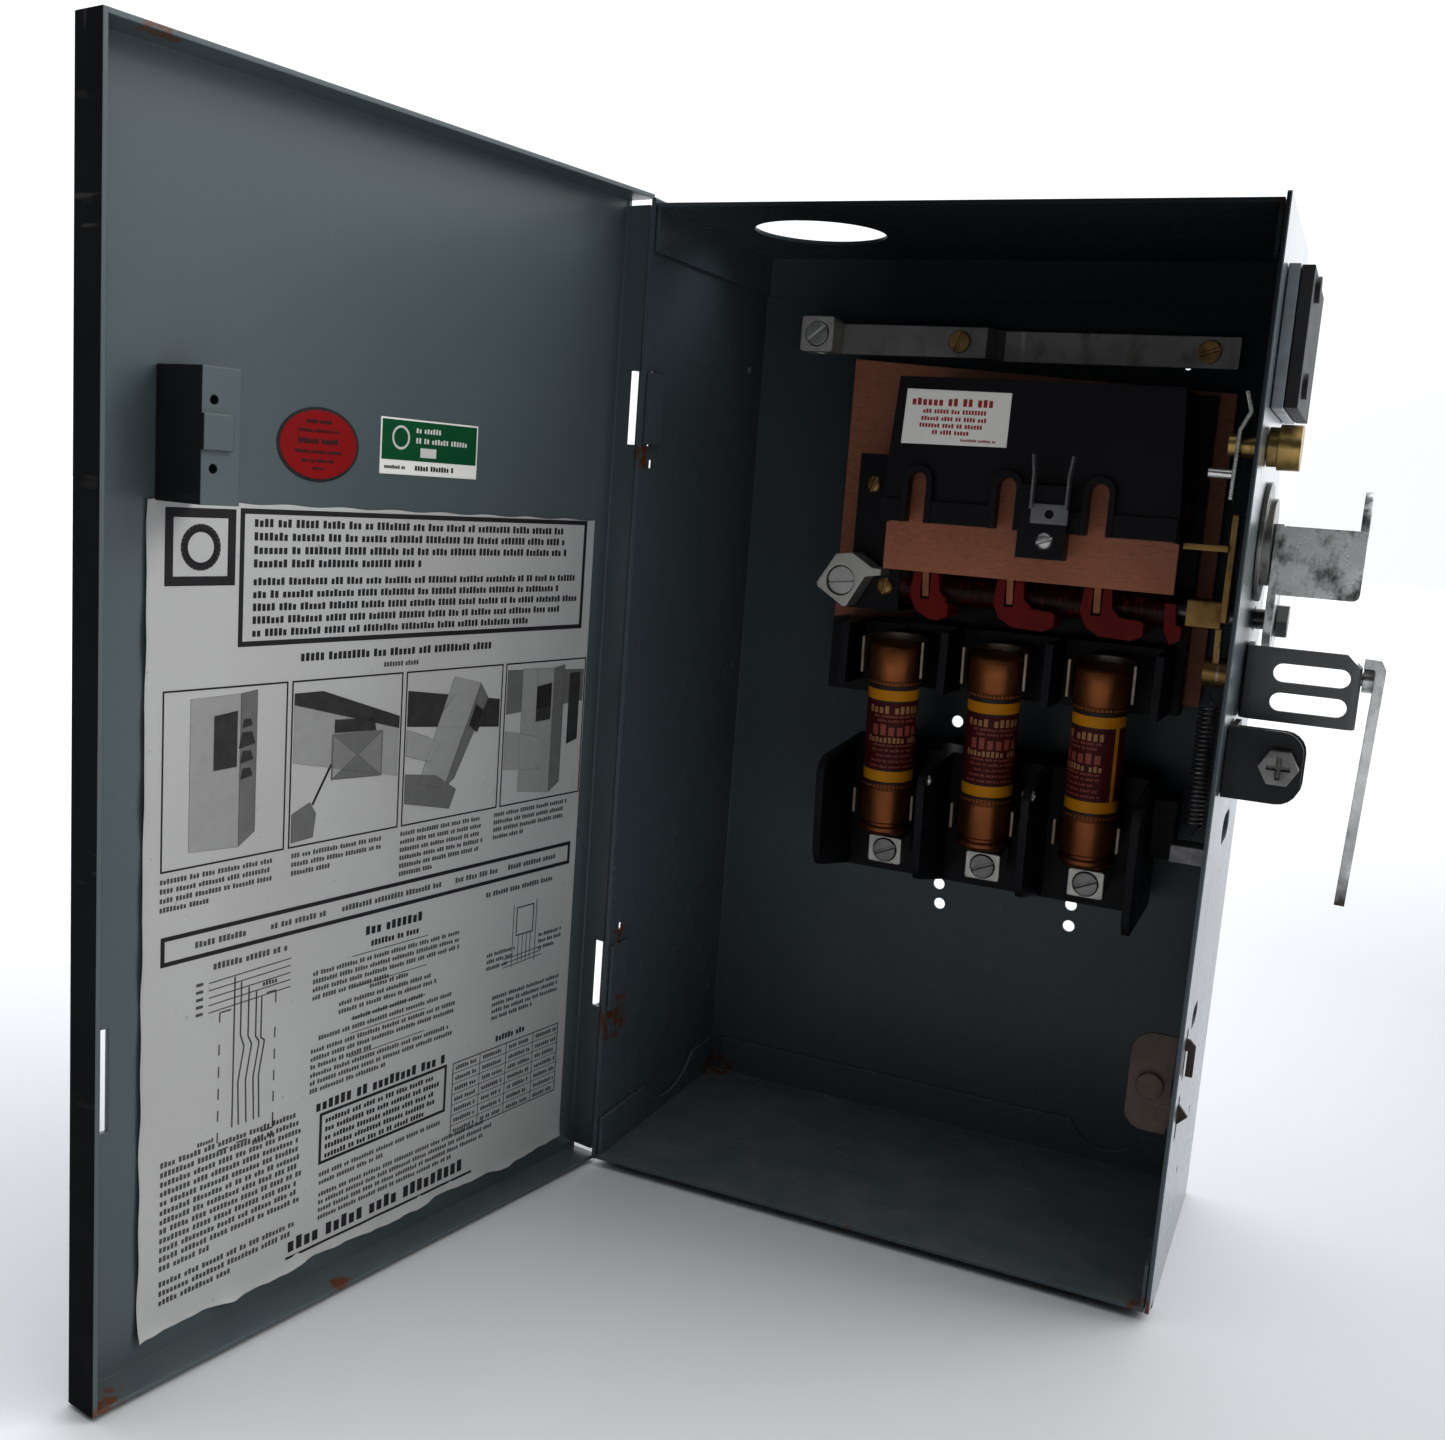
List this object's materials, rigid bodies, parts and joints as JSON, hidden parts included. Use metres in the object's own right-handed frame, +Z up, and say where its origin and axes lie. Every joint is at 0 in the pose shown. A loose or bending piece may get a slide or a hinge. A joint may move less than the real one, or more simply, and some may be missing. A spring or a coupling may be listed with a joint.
{
  "type": "fused disconnect switch",
  "caption": "Sheet steel cabinet for a busway with a hinged door, a switch worked by a side handle, and cartridge fuses with ground and neutral bars.",
  "frame": {"origin": "the middle of the outer face of the cabinet's back wall", "axes": "+Z up, +Y out of the back wall towards the busway it is fixed to, +X towards the handle; the door opens at the front, -Y"},
  "size_m": [0.3144, 0.3225, 0.3719],
  "materials": {
    "blue_grey_paint": "satin",
    "bracket_grey_paint": "satin",
    "black_paint": "satin",
    "black_phenolic": "satin",
    "brown_fibre": "matte",
    "red_insulation": "satin",
    "zinc_plate": "satin",
    "dark_bronze": "satin",
    "brass": "satin",
    "copper": "satin",
    "aluminium": "satin",
    "fuse_fibre": "satin",
    "paper": "matte"
  },
  "bodies": {
    "cabinet": {"back_barrier": "brown_fibre", "bottom_cap": "blue_grey_paint", "cabinet_shell": "blue_grey_paint", "clamp_bracket": "black_paint", "front_barrier": "brown_fibre", "ground_bar": "aluminium", "ground_bar_screw_left": "brass", "ground_bar_screw_right": "brass", "ground_lug": "aluminium", "ground_lug_screw": "zinc_plate", "handle_disc": "zinc_plate", "hasp_bracket": "bracket_grey_paint", "hinge_lower": "blue_grey_paint", "hinge_upper": "blue_grey_paint", "hook_plate": "zinc_plate", "hook_plate_pad": "black_phenolic", "interlock_strip": "brass", "line_jaw_center": "copper", "line_jaw_left": "copper", "line_jaw_right": "copper", "line_shield": "black_phenolic", "load_fuse_base": "black_phenolic", "load_lug_center": "aluminium", "load_lug_left": "aluminium", "load_lug_right": "aluminium", "load_lug_screw_center": "zinc_plate", "load_lug_screw_left": "zinc_plate", "load_lug_screw_right": "zinc_plate", "lower_clip_center": "copper", "lower_clip_left": "copper", "lower_clip_right": "copper", "neutral_base": "black_phenolic", "neutral_lug": "aluminium", "neutral_lug_screw": "zinc_plate", "shield_clip": "zinc_plate", "spring_anchor": "dark_bronze", "switch_base": "black_phenolic", "top_cap": "blue_grey_paint", "upper_clip_center": "copper", "upper_clip_left": "copper", "upper_clip_right": "copper"},
    "door": {"door_pan": "blue_grey_paint", "keeper_bracket": "black_paint", "instruction_sheet": "paper"},
    "switch_rotor": {"blade_carrier": "red_insulation", "switch_blade_left": "copper", "switch_blade_center": "copper", "switch_blade_right": "copper", "spring_crank": "brass", "switch_shaft": "zinc_plate", "handle_arm": "zinc_plate"},
    "spring": {"operating_spring": "zinc_plate"},
    "interlock": {"release_screw": "brass", "interlock_lever": "zinc_plate"},
    "clamp_screw": {"clamping_screw": "zinc_plate"},
    "lever": {"clamp_lever": "zinc_plate"},
    "latch": {"door_latch": "dark_bronze"},
    "left_fuse": {"fuse_left": "fuse_fibre"},
    "center_fuse": {"fuse_center": "fuse_fibre"},
    "right_fuse": {"fuse_right": "fuse_fibre"}
  },
  "joints": [
    {"name": "door_hinge", "type": "hinge", "parent": "cabinet", "child": "door", "pos_m": [-0.1115, -0.10422, 0], "axis": [0, 0, 1], "range_deg": [-60, 100.4]},
    {"name": "switch_throw", "type": "hinge", "parent": "cabinet", "child": "switch_rotor", "pos_m": [0, -0.0395, 0.052], "axis": [-1, 0, 0], "range_deg": [0, 50]},
    {"name": "spring_swing", "type": "hinge", "parent": "cabinet", "child": "spring", "pos_m": [0.096, -0.0395, -0.03], "axis": [-1, 0, 0], "range_deg": [-19, 1]},
    {"name": "release_turn", "type": "hinge", "parent": "cabinet", "child": "interlock", "pos_m": [0.108, -0.0815, 0.1105], "axis": [1, 0, 0], "range_deg": [0, 35], "stiffness_Nm_per_rad": 0.05, "springref_deg": -17.19},
    {"name": "clamping_screw_turn", "type": "hinge", "parent": "cabinet", "child": "clamp_screw", "pos_m": [0.1252, -0.1015, 0.0086], "axis": [0, -1, 0], "continuous": true},
    {"name": "clamp_lever_swing", "type": "hinge", "parent": "cabinet", "child": "lever", "pos_m": [0.147, -0.0575, 0.036], "axis": [1, 0, 0], "range_deg": [0, 70]},
    {"name": "latch_slide", "type": "slide", "parent": "cabinet", "child": "latch", "axis": [-1, 0, 0], "range_m": [0, 0.005], "stiffness_N_per_m": 100, "springref_m": -0.005},
    {"name": "left_fuse_pull", "type": "slide", "parent": "cabinet", "child": "left_fuse", "axis": [0, -0.9962, -0.0872], "range_m": [0, 0.045]},
    {"name": "center_fuse_pull", "type": "slide", "parent": "cabinet", "child": "center_fuse", "axis": [0, -0.9962, -0.0872], "range_m": [0, 0.045]},
    {"name": "right_fuse_pull", "type": "slide", "parent": "cabinet", "child": "right_fuse", "axis": [0, -0.9962, -0.0872], "range_m": [0, 0.045]}
  ],
  "couplings": [
    {"joint": "spring_swing", "follows": "switch_throw", "ratio": -0.3576}
  ]
}
